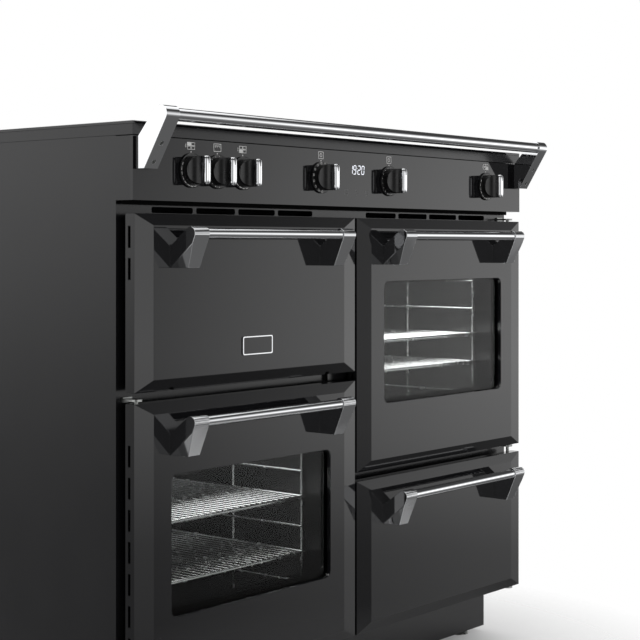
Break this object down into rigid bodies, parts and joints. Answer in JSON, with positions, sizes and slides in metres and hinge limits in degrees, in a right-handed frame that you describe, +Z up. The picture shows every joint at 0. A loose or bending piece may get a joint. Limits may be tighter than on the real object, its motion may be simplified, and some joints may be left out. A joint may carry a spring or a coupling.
{
  "type": "range cooker",
  "caption": "Freestanding electric range cooker: separate oven compartments behind bevelled gloss black doors with chrome bar handles, rotary dials, glass hob and front hand rail.",
  "frame": {"origin": "centre of the footprint of the whole object, hand rail included, at floor level", "axes": "+X to the right seen from the front, +Y from the doors to the back, +Z up"},
  "size_m": [1, 0.658, 0.9237],
  "materials": {
    "door_enamel": "high gloss black enamel",
    "printed_black_glass": "gloss, back printed black",
    "window_glass": "clear",
    "bright_chrome": "polished",
    "carcass_enamel": "satin black enamel",
    "zinc_sheet": "zinc coated sheet",
    "oven_enamel": "gloss grey-black vitreous enamel",
    "liner_enamel": "satin black enamel",
    "seal_rubber": "matte",
    "chromed_wire": "bright wire",
    "element_steel": "dark heat-tinted",
    "fan_steel": "pressed steel",
    "knob_plastic": "semi-gloss black",
    "module_plastic": "matte",
    "coil_alloy": "wound coil on a carrier",
    "foot_steel": "zinc plated"
  },
  "bodies": {
    "carcass": {"fascia_glass": "printed_black_glass", "hob_glass": "printed_black_glass", "rail_tube": "bright_chrome", "rail_brackets": "bright_chrome", "side_panels": "carcass_enamel", "hob_frame": "carcass_enamel", "fascia_housing": "carcass_enamel", "front_frame": "carcass_enamel", "plinth": "carcass_enamel", "back_panel": "zinc_sheet", "base_tray": "zinc_sheet", "grill_cavity": "oven_enamel", "main_cavity": "oven_enamel", "tall_cavity": "oven_enamel", "slow_cavity": "oven_enamel", "door_seals": "seal_rubber", "ladder_racks": "chromed_wire", "oven_shelves": "chromed_wire", "grill_element": "element_steel", "fan_covers": "fan_steel", "fan_motors": "fan_steel", "clock_module": "module_plastic", "rotary_switches": "module_plastic", "mains_gland": "module_plastic", "induction_coils": "coil_alloy", "levelling_feet": "foot_steel", "hinge_brackets": "foot_steel"},
    "grill_door": {"grill_door_panel": "door_enamel", "grill_door_liner": "liner_enamel", "grill_handle_bar": "bright_chrome", "grill_handle_brackets": "bright_chrome", "badge_plate": "bright_chrome"},
    "main_door": {"main_door_panel": "door_enamel", "main_door_liner": "liner_enamel", "main_handle_bar": "bright_chrome", "main_handle_brackets": "bright_chrome", "main_window_panes": "window_glass"},
    "tall_door": {"tall_door_panel": "door_enamel", "tall_door_liner": "liner_enamel", "tall_handle_bar": "bright_chrome", "tall_handle_brackets": "bright_chrome", "tall_window_panes": "window_glass"},
    "slow_door": {"slow_door_panel": "door_enamel", "slow_door_liner": "liner_enamel", "slow_handle_bar": "bright_chrome", "slow_handle_brackets": "bright_chrome"},
    "control_knob_1": {"knob_1": "knob_plastic", "knob_cap_1": "bright_chrome"},
    "control_knob_2": {"knob_2": "knob_plastic", "knob_cap_2": "bright_chrome"},
    "control_knob_3": {"knob_3": "knob_plastic", "knob_cap_3": "bright_chrome"},
    "control_knob_4": {"knob_4": "knob_plastic", "knob_cap_4": "bright_chrome"},
    "control_knob_5": {"knob_5": "knob_plastic", "knob_cap_5": "bright_chrome"},
    "control_knob_6": {"knob_6": "knob_plastic", "knob_cap_6": "bright_chrome"},
    "main_fan": {"main_fan_wheel": "fan_steel"},
    "tall_fan": {"tall_fan_wheel": "fan_steel"}
  },
  "joints": [
    {"name": "grill_door_hinge", "type": "hinge", "parent": "carcass", "child": "grill_door", "pos_m": [-0.25, -0.2525, 0.537], "axis": [1, 0, 0], "range_deg": [0, 90], "stiffness_Nm_per_rad": 3, "springref_deg": -34.38},
    {"name": "main_door_hinge", "type": "hinge", "parent": "carcass", "child": "main_door", "pos_m": [-0.4805, -0.2525, 0.3035], "axis": [0, 0, -1], "range_deg": [0, 100]},
    {"name": "tall_door_hinge", "type": "hinge", "parent": "carcass", "child": "tall_door", "pos_m": [0.4805, -0.2525, 0.5685], "axis": [0, 0, 1], "range_deg": [0, 100]},
    {"name": "slow_door_hinge", "type": "hinge", "parent": "carcass", "child": "slow_door", "pos_m": [0.4805, -0.2525, 0.2205], "axis": [0, 0, 1], "range_deg": [0, 100]},
    {"name": "control_knob_1_turn", "type": "hinge", "parent": "carcass", "child": "control_knob_1", "pos_m": [-0.385, -0.2865, 0.83945], "axis": [0, 1, 0], "range_deg": [0, 270]},
    {"name": "control_knob_2_turn", "type": "hinge", "parent": "carcass", "child": "control_knob_2", "pos_m": [-0.3297, -0.2865, 0.83945], "axis": [0, 1, 0], "continuous": true},
    {"name": "control_knob_3_turn", "type": "hinge", "parent": "carcass", "child": "control_knob_3", "pos_m": [-0.2744, -0.2865, 0.83945], "axis": [0, 1, 0], "range_deg": [0, 270]},
    {"name": "control_knob_4_turn", "type": "hinge", "parent": "carcass", "child": "control_knob_4", "pos_m": [-0.09, -0.2865, 0.83945], "axis": [0, 1, 0], "continuous": true},
    {"name": "control_knob_5_turn", "type": "hinge", "parent": "carcass", "child": "control_knob_5", "pos_m": [0.09, -0.2865, 0.83945], "axis": [0, 1, 0], "range_deg": [0, 270]},
    {"name": "control_knob_6_turn", "type": "hinge", "parent": "carcass", "child": "control_knob_6", "pos_m": [0.385, -0.2865, 0.83945], "axis": [0, 1, 0], "range_deg": [0, 270]},
    {"name": "main_fan_spin", "type": "hinge", "parent": "carcass", "child": "main_fan", "pos_m": [-0.25, 0.1735, 0.3035], "axis": [0, 1, 0], "continuous": true},
    {"name": "tall_fan_spin", "type": "hinge", "parent": "carcass", "child": "tall_fan", "pos_m": [0.25, 0.1735, 0.5685], "axis": [0, 1, 0], "continuous": true}
  ]
}
